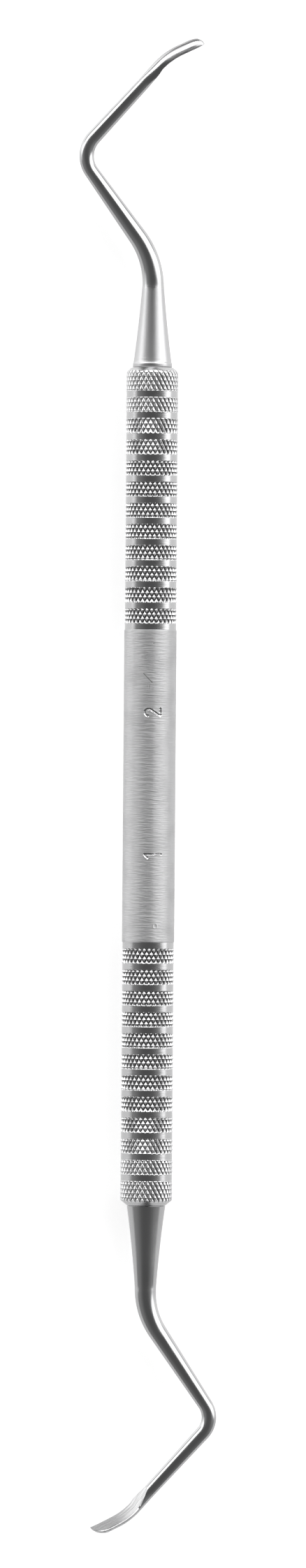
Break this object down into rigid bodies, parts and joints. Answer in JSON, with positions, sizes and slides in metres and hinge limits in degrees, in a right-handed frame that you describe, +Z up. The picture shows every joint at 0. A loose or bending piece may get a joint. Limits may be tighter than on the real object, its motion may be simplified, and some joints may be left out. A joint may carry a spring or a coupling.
{
  "type": "surgical curette",
  "caption": "Double-ended hand curette: a round ring-knurled handle with a twice-bent shank at each end, each ending in a curved blade with a flat face and a rounded back.",
  "frame": {"origin": "on the surface that the handle rests on, under the centre of the handle's plain middle", "axes": "+Y along the handle towards tip 2, +Z up from the surface, +X to the side where tip 1 has its elbow"},
  "size_m": [0.0177, 0.1812, 0.0063],
  "materials": {
    "satin_steel": "satin, turned and knurled",
    "polished_steel": "polished shanks with ground blade faces"
  },
  "bodies": {
    "root": {"handle": "satin_steel", "tip_1": "polished_steel", "tip_2": "polished_steel"}
  },
  "joints": []
}
